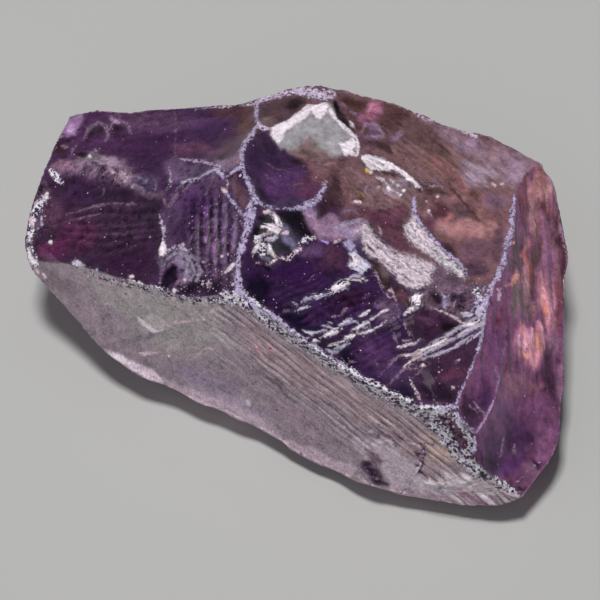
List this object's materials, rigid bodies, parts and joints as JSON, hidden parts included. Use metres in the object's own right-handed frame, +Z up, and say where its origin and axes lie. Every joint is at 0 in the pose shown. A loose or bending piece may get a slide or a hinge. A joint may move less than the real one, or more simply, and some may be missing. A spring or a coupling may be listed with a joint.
{
  "type": "rough amethyst",
  "caption": "Broken lump of clear violet quartz, bounded by shell-shaped fracture faces that meet in sharp crushed ridges; it rests on a flat underside.",
  "frame": {"origin": "under the middle of the stone's box, on the plane that it rests on", "axes": "+X along the stone's length, from the pointed left end to the blunt right side; the tall pale broken side looks towards -Y; +Z up"},
  "size_m": [0.0278, 0.0226, 0.0105],
  "materials": {
    "violet_quartz": "clear glassy violet, frosted and crushed along the ridges, satin on the tall broken side"
  },
  "bodies": {
    "root": {"rough_amethyst": "violet_quartz"}
  },
  "joints": []
}
